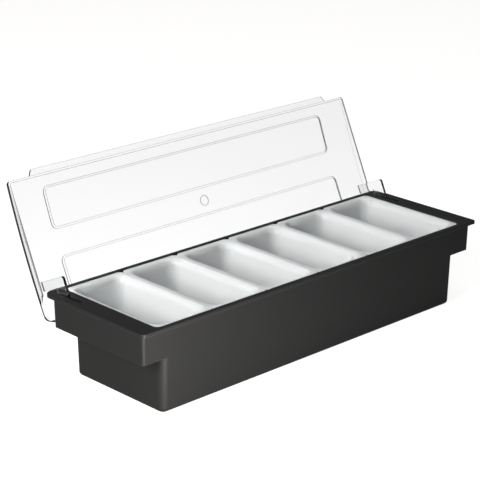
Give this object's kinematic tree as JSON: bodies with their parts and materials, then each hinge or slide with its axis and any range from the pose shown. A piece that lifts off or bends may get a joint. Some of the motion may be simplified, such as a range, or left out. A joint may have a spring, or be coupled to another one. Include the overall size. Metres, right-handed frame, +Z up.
{
  "type": "bar garnish tray",
  "caption": "Long black bar caddy with a row of lift-out white compartments, gripping skirts at the ends and a clear flip-up lid.",
  "frame": {"origin": "under the middle of the tub's rim, on the plane that the tub stands on", "axes": "+X along the row of compartments, -Y towards the front, +Z up"},
  "size_m": [0.495, 0.2147, 0.2032],
  "materials": {
    "tub_black": "satin moulded black plastic",
    "insert_white": "slightly translucent white plastic",
    "lid_clear": "clear polished plastic"
  },
  "bodies": {
    "base": {"base_tub": "tub_black"},
    "insert_1": {"insert_1": "insert_white"},
    "insert_2": {"insert_2": "insert_white"},
    "insert_3": {"insert_3": "insert_white"},
    "insert_4": {"insert_4": "insert_white"},
    "insert_5": {"insert_5": "insert_white"},
    "insert_6": {"insert_6": "insert_white"},
    "lid": {"lid": "lid_clear"}
  },
  "joints": [
    {"name": "lid_hinge", "type": "hinge", "parent": "base", "child": "lid", "pos_m": [0, 0.0636, 0.08179], "axis": [-1, 0, 0], "range_deg": [-115, 0]},
    {"name": "insert_1_lift", "type": "slide", "parent": "base", "child": "insert_1", "axis": [0, 0, 1], "range_m": [0, 0.1]},
    {"name": "insert_2_lift", "type": "slide", "parent": "base", "child": "insert_2", "axis": [0, 0, 1], "range_m": [0, 0.1]},
    {"name": "insert_3_lift", "type": "slide", "parent": "base", "child": "insert_3", "axis": [0, 0, 1], "range_m": [0, 0.1]},
    {"name": "insert_4_lift", "type": "slide", "parent": "base", "child": "insert_4", "axis": [0, 0, 1], "range_m": [0, 0.1]},
    {"name": "insert_5_lift", "type": "slide", "parent": "base", "child": "insert_5", "axis": [0, 0, 1], "range_m": [0, 0.1]},
    {"name": "insert_6_lift", "type": "slide", "parent": "base", "child": "insert_6", "axis": [0, 0, 1], "range_m": [0, 0.1]}
  ]
}
